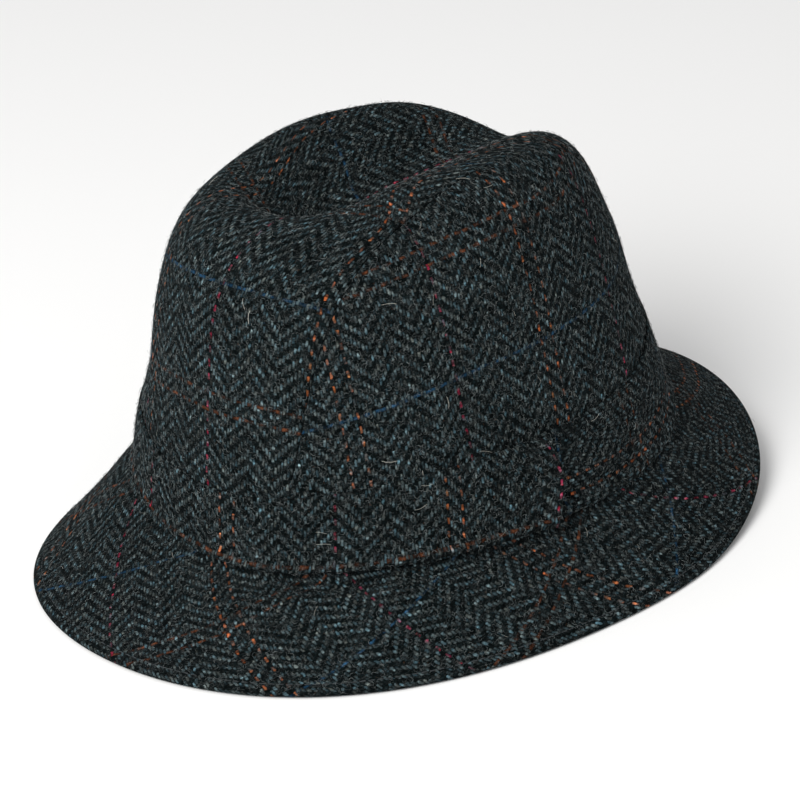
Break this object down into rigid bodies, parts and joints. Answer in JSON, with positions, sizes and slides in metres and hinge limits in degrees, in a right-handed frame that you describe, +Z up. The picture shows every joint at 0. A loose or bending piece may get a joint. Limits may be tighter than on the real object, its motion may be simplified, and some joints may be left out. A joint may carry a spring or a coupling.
{
  "type": "tweed trilby hat",
  "caption": "Soft wool tweed trilby with a panelled crown creased along its middle, a lapped self-cloth band and a sloping stitched brim turned up at the back.",
  "frame": {"origin": "middle of the hat's plan at the level of the brim's edge, which rests on the ground plane", "axes": "+Z up to the crown's top, -Y to the hat's front, +X to the wearer's left"},
  "size_m": [0.226, 0.303, 0.1542],
  "materials": {
    "crown_tweed": "brushed herringbone wool tweed, charcoal and grey-blue, with a rust, crimson and blue windowpane check",
    "band_tweed": "the same herringbone wool tweed, folded to a strip",
    "brim_tweed": "the same herringbone wool tweed, interlined and topstitched near the edge in tonal thread"
  },
  "bodies": {
    "root": {"crown_centre_panel": "crown_tweed", "crown_left_panel": "crown_tweed", "crown_right_panel": "crown_tweed", "band": "band_tweed", "brim": "brim_tweed"}
  },
  "joints": []
}
